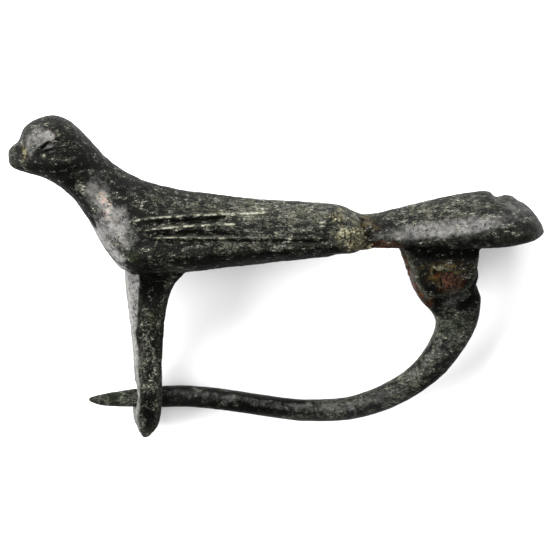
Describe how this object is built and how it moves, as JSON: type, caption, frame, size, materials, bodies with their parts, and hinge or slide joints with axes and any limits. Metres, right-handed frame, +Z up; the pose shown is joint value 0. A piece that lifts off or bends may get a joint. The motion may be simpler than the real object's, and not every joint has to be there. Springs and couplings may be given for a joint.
{
  "type": "bird brooch",
  "caption": "Cast bronze bird brooch with folded wings, a hooked catchplate leg and a curved pin hinged between lugs under the tail",
  "frame": {"origin": "on the surface the brooch lies on, under the middle of its box", "axes": "+X from beak to tail, +Y towards the bird's back, +Z up out of its left wing; the brooch lies on its right side"},
  "size_m": [0.0382, 0.0228, 0.0085],
  "materials": {
    "bronze_casting": "dark olive patina, pitted, with worn grey metal on head and breast",
    "bronze_pin": "dark green-grey patina, satin",
    "rusted_iron": "rusted"
  },
  "bodies": {
    "brooch": {"brooch_body": "bronze_casting", "hinge_axis": "rusted_iron"},
    "pin": {"pin": "bronze_pin"}
  },
  "joints": [
    {"name": "pin_hinge", "type": "hinge", "parent": "brooch", "child": "pin", "pos_m": [0.01226, 0.00022, 0.00355], "axis": [0, -0.1942, 0.981], "range_deg": [0, 74]}
  ]
}
